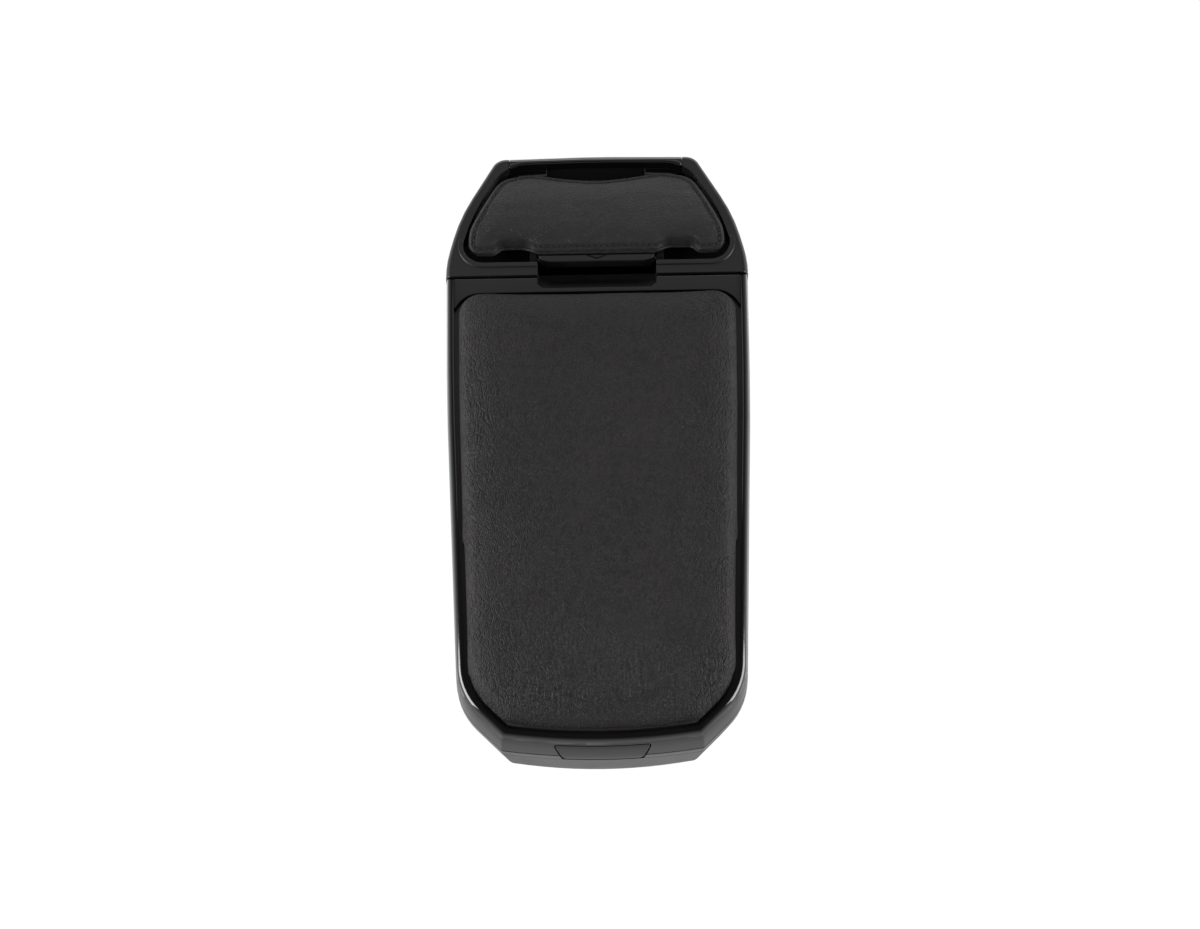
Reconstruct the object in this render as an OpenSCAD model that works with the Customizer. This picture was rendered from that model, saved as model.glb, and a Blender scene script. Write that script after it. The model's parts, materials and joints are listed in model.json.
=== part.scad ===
// Car centre armrest: a tilting storage bin on a pivot foot, with a padded lid, a front latch
// and a release lever behind the lid. X runs across, the front is towards -Y and Z is up.
// The pivot axis crosses x = 0, y = 0. Heights of the armrest are counted from its underside.

/* [Body outline] */
// Widest point across the body
body_w = 152; // [146:0.2:160]
// Length from the rear bar to the front wall
body_l = 315.8; // [300:0.2:340]
// From the pivot axis back to the rear bar
pivot_setback = 39.2; // [38:0.2:44]
// Width between the rear corners
rear_w = 101; // [96:0.5:108]
// Width half way along the sloping shoulders
shoulder_w = 139; // [136:0.5:141]
// From the rear bar forward to the middle of the shoulders
shoulder_run = 34.2; // [31:0.1:37]
// From the rear bar forward to the widest point
widest_run = 60.2; // [57:0.2:65]
// Width where the sides turn into the front corners
nose_w = 137.8; // [132:0.2:142]
// From the front wall back to where the sides turn
nose_run = 24.7; // [22:0.1:30]
// Width between the two front corners
front_w = 95.6; // [88:0.2:102]
// How far the middle of the front wall stands ahead of its corners
front_bow = 3.6; // [1:0.1:6]

/* [Body heights] */
// Height of the lower shell
shell_h = 27; // [26:0.5:31]
// Height of the strip of the upper frame between shell and lid
strip_h = 5; // [4.5:0.1:7]
// Height of the lid's wall above the strip
lid_h = 14; // [13.5:0.1:18]
// How far the lower shell's side walls lean inwards at the underside
side_lean = 6; // [3:0.5:8]
// How far the lid's front wall leans back at the top
lid_lean = 3; // [1.5:0.1:4]
// Height of the rounding along the underside
belly_h = 12; // [8:0.5:14]
// Inward reach of the rounding along the underside
belly_in = 11; // [6:0.5:14]

/* [Walls] */
// Wall of the lower shell
shell_wall = 2.6; // [2:0.1:3.4]
// Floor of the lower shell
shell_floor = 3; // [2.4:0.1:4]
// Width of the upper frame's strip
strip_wall = 3.4; // [3:0.1:4]
// Wall of the lid
lid_wall = 2.4; // [2:0.1:3]
// Visible gap where the lid meets the strip
lid_gap = 0.3; // [0.2:0.05:0.6]
// Width of the cheeks beside the rear opening
cheek_w = 6.2; // [5:0.1:7.5]
// Width of the rear bar's top face
bar_w = 4.6; // [4:0.1:6]
// Half width of the finger recess between lid and release lever
recess_half_w = 29.8; // [26:0.2:32]

/* [Lid] */
// From the pivot axis forward to the frame's edge at the lid seam
seam_run = 29.3; // [28.5:0.1:32]
// Radius of the lid's rounded rear end about the hinge axis
knuckle_r = 7.8; // [7.4:0.1:8.2]
// Depth of the lid hinge axis below the top of the lid
hinge_drop = 4.4; // [4.3:0.05:4.8]
// Radius of the lid's hinge pins
hinge_pin_r = 1.25; // [1:0.05:1.4]
// Radius of the frame's ears round the hinge pins
hinge_ear_r = 2.6; // [2.4:0.05:2.7]
// Thickness of the lid's ears along the pin
hinge_ear_t = 6; // [5:0.5:8]
// Distance of the hinge ears from the middle
hinge_ear_x = 47; // [44:0.5:52]
// How far the lid's recess cuts forward of the frame's edge
notch_run = 7.3; // [6:0.1:9]
// Width of the glossy rim
rim_w = 3.4; // [3:0.1:4.2]
// Height of the glossy rim above the lid's wall
rim_h = 3.3; // [2.8:0.1:4]

/* [Cushion] */
// Height of the cushion above its board at the crown
cushion_h = 12.5; // [10:0.5:16]
// Reach of the cushion's rounded edge
cushion_roll = 17; // [12:0.5:24]
// Gap between cushion and rim
cushion_gap = 0.6; // [0.4:0.1:1.2]
// From the seam forward to the cushion's rear edge
cushion_run = 9.9; // [9.6:0.1:13]
// Corner radius at the cushion's rear edge
cushion_corner = 13; // [10:0.5:18]
// Thickness of the board under the cushion
board_t = 2; // [1.6:0.1:2.4]

/* [Leather pad] */
// Height of the pad's crest above the underside
pad_crest = 49.5; // [49:0.1:51]
// Radius of the pad's curve from front to rear
pad_curve_r = 50; // [46:1:60]
// Distance of the pad's crest behind the pivot axis
pad_crest_y = 4; // [2:0.5:6]
// Thickness of the leather and its foam
pad_t = 3.2; // [2.6:0.1:3.6]
// Gap between the pad and the frame's opening
pad_gap = 2.2; // [1.6:0.1:3]
// Thickness of the plastic carrier under the pad
carrier_t = 2.6; // [2:0.1:3]

/* [Pivot] */
// Height of the pivot axis above the underside
pivot_h = 22; // [21:0.5:23]
// Radius of the pivot hub's drum
hub_r = 15; // [14:0.25:15.5]
// Half length of the pivot hub
hub_half_l = 24; // [22.5:0.25:24.5]
// Radius of the pivot shaft
shaft_r = 4; // [3.5:0.25:5]
// Wall of the bushes round the shaft
bush_wall = 2.4; // [1.8:0.1:3]
// Running clearance of the shaft in its bushes
shaft_clear = 0.05; // [0.02:0.01:0.09]
// Thickness of the thrust washers
washer_t = 1.5; // [1:0.1:1.7]
// Thickness of the steel pivot brackets
bracket_t = 3; // [2:0.25:3.5]
// Depth of the foot's column from front to rear
column_d = 28; // [22:0.5:28]
// Width of the foot's column
column_w = 44; // [36:0.5:44.5]

/* [Foot] */
// Height of the armrest's underside above the console
stand_h = 45; // [40:1:90]
// Width of the foot's flange
flange_w = 86; // [80:1:110]
// Depth of the foot's flange
flange_d = 60; // [56:1:90]
// Thickness of the foot's flange
flange_t = 6; // [4:0.5:10]
// Spacing of the flange's bolt holes across
bolt_dx = 68; // [60:1:72]
// Spacing of the flange's bolt holes along
bolt_dy = 42; // [38:1:48]
// Radius of the flange's bolt holes
bolt_r = 3.3; // [2.6:0.1:4]

/* [Latch] */
// Width of the latch button at its top
button_w = 45.6; // [36:0.5:50]
// Width of the latch button at its bottom
button_foot_w = 37; // [30:0.5:40]
// Height of the latch button above the seam under the strip
button_h = 14.2; // [13:0.1:15]
// Gap round the latch button
button_gap = 0.4; // [0.3:0.05:0.7]
// Radius of the latch pin
latch_pin_r = 1.25; // [1:0.05:1.5]
// Half width of the latch hook
hook_half_w = 7; // [5:0.5:9]

/* [Release lever] */
// Half width of the finger tongue
tongue_half_w = 29.2; // [25:0.2:29.3]
// From the pivot axis forward to the tongue's front edge
tongue_run = 20.9; // [20:0.1:21.4]
// Depth of the tongue's top below the frame's top
tongue_drop = 2; // [1:0.1:3]
// Radius of the release lever's pin
release_pin_r = 1.5; // [1.2:0.05:1.8]
// Gap between the brake shoe and the drum
shoe_gap = 0.3; // [0.2:0.05:0.5]

/* [Fasteners] */
// Radius of the case screws
screw_r = 1.5; // [1.2:0.05:1.7]
// Radius of the case screws' heads
screw_head_r = 3; // [2.6:0.1:3.2]
// Radius of the posts that the case screws enter
post_r = 4.6; // [4.2:0.1:5.4]

/* [Hidden] */
$fn = 48;

// Facets and small reaches
thin = 0.01;
over = 1;
far = 400;
corner_step = 7;
corner_share = 0.46;
flush = 0.02;

// Outline of the body
half_w = body_w / 2;
rear_y = pivot_setback;
front_y = rear_y - body_l;
rear_bow = 1;
rear_corner_y = rear_y - rear_bow;
shoulder_y = rear_y - shoulder_run;
widest_y = rear_y - widest_run;
side_y = widest_y - 74;
side_in = 0.8;
nose_y = front_y + nose_run;
corner_y = front_y + front_bow;
bow_steps = 6;
rear_bow_r = 300;
rear_corner_r = 8;
shoulder_r = 90;
widest_r = 60;
side_r = 900;
nose_r = 34;
front_corner_r = 2.5;
side_table = [
    [-rear_corner_y, rear_w / 2], [-shoulder_y, shoulder_w / 2], [-widest_y, half_w],
    [-side_y, half_w - side_in], [-nose_y, nose_w / 2], [-corner_y, front_w / 2],
];

// Levels of the body
ledge_z = shell_h + strip_h;
top_z = ledge_z + lid_h;
inner_inset = 1;
frame_edge_in = 3;
frame_edge_h = 4;
frame_edge = [[0.45, 0.2], [0.12, 0.6]];
belly_end_share = 0.7;
front_lean = 1.1;
belly_steps = 5;

// Lid and its hinge
seam_y = -seam_run;
hinge_z = top_z - hinge_drop;
cove_r = knuckle_r + lid_gap;
hinge_y = seam_y - cove_r;
lid_top_in = 0.7;
lid_middle_in = 0.2;
lid_middle_lean = lid_lean * 0.35;
lid_wall_lean = lid_lean * 0.8;
plate_t = 2.5;
rim_sink = 2.5;
rim_z = top_z - rim_sink;
plate_z = rim_z - plate_t;
lid_rear_y = hinge_y - 8;
ear_gap = 0.3;
hinge_pin_l = 18;
pocket_half_d = 4;
rail_y = hinge_y - 5;
notch_y = seam_y - notch_run;
notch_chamfer = 2.5;
notch_corner_r = 0.6;
band_gap = 0.3;
band_share = 0.6;
band_overlap = 0.25;
band_in = rim_w + band_gap - band_overlap;
rim_edge = [[0.45, 0.2, 0.2], [0.75, 0.35, 0.8], [0.93, 0.45, 1.6], [1, 0.6, 2.5]];

// Cushion on its board
cushion_z = rim_z + board_t;
cushion_y = seam_y - cushion_run;
band_front_y = cushion_y - band_share * cushion_corner;
cushion_in = rim_w + cushion_gap;
cushion_tuck = 1.3;
cushion_edge_h = 2;
cushion_ease = 0.3;
cushion_fullness = 1.15;
cushion_steps = 7;
board_in = 1.8;

// Rear opening with the leather pad
opening_y = -22;
opening_corner = 10;
opening_rear_r = 20;
opening_rear_y = 40;
bead_rear_y = -9;
bead_w = 2.6;
shelf_z = shell_h + 3.5;
shelf_t = 2.5;
shelf_rear_y = -7;
bead_h = 0.7;
pad_centre_z = pad_crest - pad_curve_r;
pad_lobe_y = 26;
pad_lobe_in = 2.2;
pad_rear = [[0, 23.6, 80], [0.72, 29.6, 16], [1.03, 26, 13]];
pad_side_y = -4;
pad_side_r = 14;
pad_corner_y = -16.4;
pad_corner_in = 1.5;
pad_corner_r = 9;
pad_front_y = -15.9;
pad_front_half_w = 30;
pad_front_r = 4;
pad_hollow_y = -12.4;
pad_hollow_half_w = [36.5, 47.5];
pad_hollow_r = 4;
pad_lobe_half_w = 51.5;
pad_lobe_r = 2.5;
carrier_in = 2;
carrier_r = pad_curve_r - pad_t;
carrier_front_y = -9;
carrier_rear_y = 21;
carrier_half_w = 54;
carrier_web_t = 2.5;
apron_half_w = 24.9;
apron_z = 36.5;
apron_t = 1.9;
apron_reach = 2;
carrier_leg_x = 47;
carrier_leg_y = 6;
carrier_leg_r = 4;

// Rear bridge
bridge_half_w = 44;
arch_half_w = 25;
arch_z = 39.5;
bridge_foot_y = 30.5;
bridge_gap = 0.15;
bridge_screw_x = 35;
bridge_screw_in = 6.2;

// Slot for the foot
slot_half_w = column_w / 2 + 2;
slot_front_y = -column_d / 2 - 1;
bulkhead_t = 2.4;
bulkhead_y = seam_y - bulkhead_t;

// Pivot pieces
bush_r = shaft_r + bush_wall;
bush_flange_r = bush_r + 2;
bush_flange_t = 1;
bush_l = 10;
clip_groove = 0.8;
washer_gap = 0.2;
washer_r = bush_flange_r + 1;
washer_x = hub_half_l + bush_flange_t + washer_gap;
bracket_x = washer_x + washer_t + washer_gap;
bracket_half_d = 11;
bracket_base_w = 14;
bracket_base_t = 2.5;
bracket_screw_x = bracket_x + 9;
bracket_screw_y = 7.5;
clip_t = 1.2;
clip_x = bracket_x + bracket_t + washer_gap;
shaft_half_l = clip_x + clip_t + 2.5;
clip_rim = 2;
clip_mouth = shaft_r * 0.6;

// Latch at the front
latch_y = front_y + 6.2;
latch_z = ledge_z + 7;
button_z = shell_h + 0.8;
button_top = button_z + button_h;
button_back_y = front_y + 4.8;
latch_ear_t = 3.6;
latch_ear_x = button_w / 2 + button_gap;
notch_depth = 12;
button_top_r = 1.5;
button_foot_r = 2.5;
button_foot_ease = 5;
barrel_r = 2.6;
barrel_clear = 0.6;
latch_pin_half_l = latch_ear_x + 2.5;
barrel_half_l = button_foot_w / 2 + 1;
spring_half_l = 4;
spring_wire = 0.8;
spring_clear = 0.2;
coil_half_l = spring_half_l - spring_clear;
latch_coil_r = latch_pin_r + spring_clear + spring_wire / 2;
release_coil_r = release_pin_r + spring_clear + spring_wire / 2;
spring_leg = 1.6;
latch_leg_turns = [-40, -75];
release_leg_turns = [200, 60];
leg_fn = 16;
pin_clear = 0.05;
hook_y = front_y + 7.6;
hook_top = latch_z - 3.2;
hook_root_z = hook_top - 4;
hook_t = 2;
hook_z = shell_h - 6.5;
nose_reach = 1.2;
nose_h = 2.4;
striker_y = front_y + 3.4;
striker_t = 1.2;
striker_half_w = 9;
striker_hole_in = 3.5;
striker_z = shell_h - 14;
striker_top = shell_h - 2;

// Release lever behind the recess
release_y = -15.5;
release_z = top_z - 9.5;
tongue_z = top_z - tongue_drop;
tongue_step_z = top_z - 4.8;
tongue_foot_z = tongue_step_z - 4;
tongue_corner_in = 6.3;
tongue_corner_steps = 6;
tongue_root_y = -17.2;
tongue_back_y = -13.6;
tongue_side = [
    for (i = [0 : tongue_corner_steps])
        let (turn = 90 * i / tongue_corner_steps)
        [
            tongue_half_w - tongue_corner_in * (1 - cos(turn)),
            tongue_root_y - (tongue_run + tongue_root_y) * sin(turn),
            0,
        ],
];
release_barrel_r = 3.6;
release_barrel_half_l = 26;
release_ear_x = recess_half_w + 0.4;
release_ear_t = 3.6;
release_ear_r = 4;
release_ear_end = release_ear_x + release_ear_t;
arm_half_w = 11;
arm_end_y = -5.2;
arm_z = hub_r + pivot_h - 0.4;
arm_top = arm_z + 2.6;
shoe_half_w = 9.5;
shoe_front_y = -10.5;
shoe_rear_y = -5.5;
recess_floor_t = 2.5;
recess_floor_y = -16.6;

// Posts and screws
post_in = 14;
post_first_y = seam_y - 32.7;
post_last_y = front_y + 40.6;
post_rows = [post_first_y, (post_first_y + post_last_y) / 2, post_last_y];
post_top_gap = 0.5;
post_rear_y = 4;
post_rear_in = 10;
counterbore_h = 8;
seat_z = 6;
recess_h = 2.5;
screw_bite = 3;
screw_head_h = 2;
pilot_r = screw_r + flush;
screw_clear = 0.15;
head_clear = 0.4;
board_screw_rows = [post_first_y - 8, (post_first_y + post_last_y) / 2, post_last_y + 6];
board_screw_x = 40;
boss_h = 1.5;
panel_z = ledge_z + 2.3;
panel_t = 2;
panel_in = 6;
panel_front_y = front_y + 20;
panel_rear_y = lid_rear_y - 3;
panel_screw_rows = [post_first_y - 38, post_last_y + 36];
panel_screw_x = 30;
buffer_r = 3.6;
mat_t = 1.6;
mat_gap = 0.8;
mat_corner_r = 4;
buffer_sink = 0.5;
buffer_gap = 0.3;

// Colours
satin_black = [0.09, 0.09, 0.1];
gloss_black = [0.02, 0.02, 0.03];
soft_black = [0.13, 0.12, 0.13];
steel = [0.62, 0.63, 0.65];
bush_cream = [0.8, 0.77, 0.68];
rubber_grey = [0.16, 0.16, 0.16];

function flat(p) = [p.x, p.y];
function unit(v) = v / norm(v);

// Points of the corner at p, rounded to its third value, on the way from a to b
function corner_points(a, p, b) =
    let (
        back = unit(flat(a) - flat(p)),
        ahead = unit(flat(b) - flat(p)),
        half = acos(max(-1, min(1, back * ahead))) / 2,
        room = min(norm(flat(a) - flat(p)), norm(flat(b) - flat(p))) * corner_share,
        r = min(p.z, room * tan(half)),
        centre = flat(p) + unit(back + ahead) * r / sin(half),
        start = flat(p) + back * r / tan(half) - centre,
        first = atan2(start.y, start.x),
        turn = (180 - 2 * half) * sign(cross(-back, ahead)),
        steps = max(1, ceil(abs(turn) / corner_step))
    )
    r < 0.05 ? [flat(p)] : [
        for (i = [0 : steps])
            centre + r * [cos(first + turn * i / steps), sin(first + turn * i / steps)]
    ];

// A closed outline with its corners rounded
function rounded(points) =
    let (n = len(points))
    [for (i = [0 : n - 1]) each corner_points(points[(i + n - 1) % n], points[i], points[(i + 1) % n])];

// The other half of an outline that starts and ends on the middle line
function both_sides(points) =
    concat(points, [for (i = [len(points) - 2 : -1 : 1]) [-points[i].x, points[i].y, points[i].z]]);

// Points of the bowed front edge, from beside its corner to the middle line
function front_edge(half, middle_y) = [
    for (i = [bow_steps - 1 : -1 : 0])
        [half * i / bow_steps, middle_y + front_bow * pow(i / bow_steps, 2), 0]
];

// Half width of the body at a place along it
function side_x(y) = lookup(-y, side_table);

// Insets of the lower shell at a height above its underside
function belly(z) = z < belly_h ? belly_in * (1 - sqrt(1 - pow(1 - z / belly_h, 2))) : 0;
function shell_side_in(z) = side_lean * (1 - z / shell_h) + belly(z);
function shell_end_in(z) = front_lean * (1 - z / shell_h) + belly(z) * belly_end_share;

// Plan of the body, with its sides, front and rear set in by the values given
module plan(side = 0, front = 0, rear = 0, inset = 0) {
    offset(delta = -inset)
        polygon(rounded(both_sides([
            [0, rear_y - rear, rear_bow_r],
            [rear_w / 2 - side, rear_corner_y - rear, rear_corner_r],
            [shoulder_w / 2 - side, shoulder_y, shoulder_r],
            [half_w - side, widest_y, widest_r],
            [half_w - side_in - side, side_y, side_r],
            [nose_w / 2 - side, nose_y + front, nose_r],
            [front_w / 2 - side, corner_y + front, front_corner_r],
            each front_edge(front_w / 2 - side, front_y + front),
        ])));
}

// Solid through plans at several heights, each level being height, side, front, rear and inset
module lofted(levels) {
    hull()
        for (level = levels)
            translate([0, 0, level[0]])
                linear_extrude(thin)
                    plan(level[1], level[2], level[3], level[4]);
}

module block(low, high) {
    translate(low)
        cube(high - low);
}

// A block that spans the same distance to both sides of the middle
module middle_block(half, low, high) {
    block([-half, low[0], low[1]], [half, high[0], high[1]]);
}

// Cylinder along X from one place to another
module cross_rod(r, x0, x1, y, z) {
    translate([x0, y, z])
        rotate([0, 90, 0])
            cylinder(r = r, h = x1 - x0);
}

module sides() {
    for (side = [-1, 1])
        scale([side, 1, 1])
            children();
}

module at_both(x) {
    for (side = [-1, 1])
        translate([side * x, 0, 0])
            children();
}

// Raises the armrest's own frame to its height above the console
module lift() {
    translate([0, 0, stand_h])
        children();
}

// Every place where a case screw joins shell and frame
module at_posts() {
    for (side = [-1, 1]) {
        for (y = post_rows)
            translate([side * (side_x(y) - post_in), y, 0])
                children();
        translate([side * (side_x(post_rear_y) - post_rear_in), post_rear_y, 0])
            children();
    }
}

module at_bridge_posts() {
    at_both(bridge_screw_x)
        translate([0, rear_y - bridge_screw_in, 0])
            children();
}

module at_bracket_screws() {
    for (x = [-1, 1], y = [-1, 1])
        translate([x * bracket_screw_x, y * bracket_screw_y, 0])
            children();
}

// Pan head screw standing on z = 0, its shank upwards
module screw(shank) {
    translate([0, 0, -screw_head_h])
        cylinder(r = screw_head_r, h = screw_head_h);
    cylinder(r = screw_r, h = shank);
}

// Coil of touching turns round an axis along X, with its two legs
module torsion_coil(y, z, half_l, coil_r, leg_turns) {
    turns = floor(2 * half_l / spring_wire);
    pitch = 2 * half_l / turns;
    translate([-half_l, y, z])
        rotate([0, 90, 0])
            rotate_extrude()
                polygon(concat(
                    [[coil_r - spring_wire / 2, 0]],
                    [for (i = [0 : 4 * turns])
                        [coil_r + spring_wire / 2 * abs(sin(45 * i)), pitch * i / 4]],
                    [[coil_r - spring_wire / 2, 2 * half_l]]
                ));
    for (end = [0, 1])
        translate([(2 * end - 1) * (half_l - spring_wire / 2), y, z])
            rotate([leg_turns[end], 0, 0])
                translate([0, 0, coil_r])
                    rotate([-90, 0, 0])
                        cylinder(r = spring_wire / 2, h = coil_r * spring_leg, $fn = leg_fn);
}

module pivot_foot() {
    pivot_z = stand_h + pivot_h;
    color(satin_black)
        difference() {
            union() {
                linear_extrude(flange_t)
                    polygon(rounded(both_sides([
                        [0, flange_d / 2, 0], [flange_w / 2, flange_d / 2, 12],
                        [flange_w / 2, -flange_d / 2, 12], [0, -flange_d / 2, 0],
                    ])));
                middle_block(column_w / 2, [-column_d / 2, flange_t - over], [column_d / 2, pivot_z]);
                cross_rod(hub_r, -hub_half_l, hub_half_l, 0, pivot_z);
            }
            cross_rod(bush_r, -far, far, 0, pivot_z);
            for (x = [-1, 1], y = [-1, 1])
                translate([x * bolt_dx / 2, y * bolt_dy / 2, -over])
                    cylinder(r = bolt_r, h = flange_t + 2 * over);
        }
}

module hub_bush(side) {
    inner = hub_half_l - bush_l;
    color(bush_cream)
        scale([side, 1, 1])
            difference() {
                union() {
                    cross_rod(bush_r - flush, inner, hub_half_l, 0, stand_h + pivot_h);
                    cross_rod(bush_flange_r, hub_half_l, hub_half_l + bush_flange_t, 0, stand_h + pivot_h);
                }
                cross_rod(shaft_r + shaft_clear, 0, far, 0, stand_h + pivot_h);
            }
}

module lower_shell() {
    color(satin_black)
        lift()
            difference() {
                lofted([
                    for (i = [0 : belly_steps])
                        let (z = belly_h * i / belly_steps)
                        [z, shell_side_in(z), shell_end_in(z), shell_end_in(z), 0],
                    [shell_h - thin, 0, 0, 0, 0],
                ]);
                shell_hollow();
                shell_holes();
                middle_block(slot_half_w, [slot_front_y, -over], [rear_y + over, shell_h + over]);
            }
}

// Inside of the lower shell, round its bulkhead, posts and seats
module shell_hollow() {
    difference() {
        lofted([
            for (i = [1 : belly_steps])
                let (z = shell_floor + (belly_h - shell_floor) * (i - 1) / (belly_steps - 1))
                [z, shell_side_in(z), shell_end_in(z), shell_end_in(z), shell_wall],
            [shell_h + over, 0, 0, 0, shell_wall],
        ]);
        middle_block(far, [bulkhead_y, 0], [seam_y, shell_h]);
        middle_block(striker_half_w + 1, [front_y, striker_z - 1], [striker_y, striker_top + 1]);
        at_posts()
            cylinder(r = post_r, h = shell_h);
        at_bridge_posts()
            cylinder(r = post_r, h = shell_h);
        sides()
            block([slot_half_w, -bracket_half_d - 1, 0],
                  [bracket_x + bracket_base_w + 1, bracket_half_d + 1, seat_z]);
        sides()
            translate([carrier_leg_x, carrier_leg_y, 0])
                cylinder(r = carrier_leg_r + 1, h = seat_z);
    }
}

// Screw holes of the lower shell, with their recesses on the underside
module shell_holes() {
    at_posts()
        recessed_hole(counterbore_h);
    at_bridge_posts()
        recessed_hole(counterbore_h);
    at_bracket_screws()
        recessed_hole(recess_h);
    sides()
        translate([carrier_leg_x, carrier_leg_y, 0])
            recessed_hole(recess_h);
}

module recessed_hole(depth) {
    translate([0, 0, -over])
        cylinder(r = screw_head_r + head_clear, h = depth + over);
    cylinder(r = screw_r + screw_clear, h = shell_h + over);
}

// Rear opening of the frame, wider all round by grow
module pad_opening(grow = 0) {
    offset(r = grow)
        offset(r = opening_corner)
            offset(delta = -opening_corner)
                intersection() {
                    offset(r = opening_rear_r)
                        offset(delta = -opening_rear_r)
                            plan(rear = bar_w - cheek_w, inset = cheek_w);
                    translate([-far, opening_y])
                        square([2 * far, far]);
                }
}

// Top of the body at the rear, with its outer edge rounded
module rear_block() {
    intersection() {
        lofted([
            [shell_h, 0, 0, 0, 0],
            [top_z - frame_edge_h, 0, 0, 0, 0],
            for (step = frame_edge)
                [top_z - frame_edge_h * step[0], 0, 0, 0, frame_edge_in * step[1]],
            [top_z - thin, 0, 0, 0, frame_edge_in],
        ]);
        middle_block(far, [seam_y, 0], [far, far]);
    }
}

module upper_frame() {
    color(satin_black)
        lift()
            difference() {
                union() {
                    difference() {
                        rear_block();
                        translate([0, 0, shell_h - over])
                            linear_extrude(far)
                                pad_opening();
                        middle_block(bridge_half_w + bridge_gap, [bridge_foot_y - 3, 0], [far, far]);
                    }
                    translate([0, 0, top_z - bead_h])
                        linear_extrude(2 * bead_h)
                            difference() {
                                pad_opening(bead_w);
                                pad_opening();
                                translate([-far, bead_rear_y])
                                    square(2 * far);
                            }
                    translate([0, 0, shell_h])
                        linear_extrude(strip_h)
                            intersection() {
                                difference() {
                                    plan();
                                    plan(inset = strip_wall);
                                }
                                translate([-far, -far])
                                    square([2 * far, far]);
                            }
                    translate([0, 0, shell_h])
                        linear_extrude(hinge_z - shell_h)
                            intersection() {
                                plan(inset = inner_inset);
                                translate([-far, hinge_y])
                                    square([2 * far, seam_y - hinge_y + flush]);
                            }
                    translate([0, 0, shell_h])
                        linear_extrude(strip_h)
                            intersection() {
                                plan(inset = inner_inset);
                                translate([-far, rail_y])
                                    square([2 * far, seam_y - rail_y]);
                            }
                    intersection() {
                        union() {
                            at_posts()
                                translate([0, 0, shell_h])
                                    cylinder(r = post_r, h = strip_h - post_top_gap);
                            sides() {
                                for (y = post_rows)
                                    post_tie(y, post_in);
                                post_tie(post_rear_y, post_rear_in);
                            }
                        }
                        translate([0, 0, shell_h])
                            linear_extrude(strip_h)
                                plan(inset = inner_inset);
                    }
                    translate([0, 0, shelf_z])
                        linear_extrude(shelf_t)
                            intersection() {
                                plan(inset = inner_inset);
                                translate([-far, opening_y - over])
                                    square([2 * far, shelf_rear_y - opening_y + over]);
                            }
                    middle_block(release_ear_end, [seam_y, shell_h], [opening_y + 1, release_z]);
                    sides() {
                        block([release_ear_x, opening_y, shell_h],
                              [release_ear_end, release_y + release_ear_r, release_z]);
                        cross_rod(release_ear_r, release_ear_x, release_ear_end, release_y, release_z);
                    }
                }
                cross_rod(cove_r, -far, far, hinge_y, hinge_z);
                middle_block(recess_half_w, [notch_y - lid_gap, shell_h + recess_floor_t],
                             [recess_floor_y + over, far]);
                middle_block(release_ear_x, [opening_y + 1, shell_h - over], [opening_rear_y, far]);
                cross_rod(release_pin_r + flush, -release_ear_end, release_ear_end, release_y, release_z);
                at_posts()
                    translate([0, 0, shell_h - over])
                        cylinder(r = pilot_r, h = strip_h - 1);
                latch_notch(button_gap);
            }
    color(satin_black)
        lift()
            sides()
                hinge_ear();
}

// Web from the frame's strip to a case screw's post
module post_tie(y, length) {
    block([side_x(y) - length, y - post_r, shell_h], [side_x(y), y + post_r, ledge_z - post_top_gap]);
}

// Ear of the frame that carries one of the lid's hinge pins
module hinge_ear() {
    half_t = hinge_ear_t / 2;
    difference() {
        union() {
            cross_rod(hinge_ear_r, hinge_ear_x - half_t, hinge_ear_x + half_t, hinge_y, hinge_z);
            block([hinge_ear_x - half_t, hinge_y - hinge_ear_r, ledge_z - over],
                  [hinge_ear_x + half_t, hinge_y + hinge_ear_r, hinge_z]);
        }
        cross_rod(hinge_pin_r + pin_clear, 0, far, hinge_y, hinge_z);
    }
}

// Space of the latch button in the front wall, wider all round by gap
module latch_notch(gap) {
    translate([0, front_y + notch_depth, 0])
        rotate([90, 0, 0])
            linear_extrude(2 * notch_depth)
                polygon(rounded(both_sides([
                    [0, button_top + gap, 0],
                    [button_w / 2 + gap, button_top + gap, button_top_r],
                    [button_foot_w / 2 + gap, button_z - gap * button_foot_ease, button_foot_r],
                    [0, button_z - gap * button_foot_ease, 0],
                ])));
}

module rear_bridge() {
    color(gloss_black)
        lift()
            difference() {
                intersection() {
                    union() {
                        difference() {
                            rear_block();
                            translate([0, 0, shell_h - over])
                                linear_extrude(far)
                                    pad_opening();
                        }
                        sides()
                            block([slot_half_w, bridge_foot_y, shell_h],
                                  [bridge_half_w, rear_corner_y - 2, arch_z]);
                    }
                    middle_block(bridge_half_w, [bridge_foot_y - 3 + bridge_gap, 0], [far, far]);
                }
                middle_block(slot_half_w, [0, 0], [far, arch_z]);
                middle_block(arch_half_w, [0, apron_z - bridge_gap], [far, arch_z]);
                at_bridge_posts()
                    translate([0, 0, shell_h - over])
                        cylinder(r = pilot_r, h = screw_bite + 2);
            }
}

module bin_mat() {
    color(rubber_grey)
        lift()
            translate([0, 0, shell_floor])
                linear_extrude(mat_t)
                    difference() {
                        offset(r = mat_corner_r)
                            offset(delta = -mat_corner_r)
                                intersection() {
                                    plan(shell_side_in(shell_floor), shell_end_in(shell_floor), 0,
                                         shell_wall + mat_gap);
                                    translate([-far, -far])
                                        square([2 * far, far + bulkhead_y - mat_gap]);
                                }
                        at_posts()
                            circle(r = post_r + mat_gap);
                    }
}

module striker() {
    color(steel)
        lift()
            difference() {
                middle_block(striker_half_w, [striker_y, striker_z], [striker_y + striker_t, striker_top]);
                sides()
                    translate([striker_half_w - striker_hole_in, front_y, striker_z + striker_hole_in])
                        rotate([-90, 0, 0])
                            cylinder(r = screw_r, h = 2 * notch_depth);
            }
}

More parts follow.
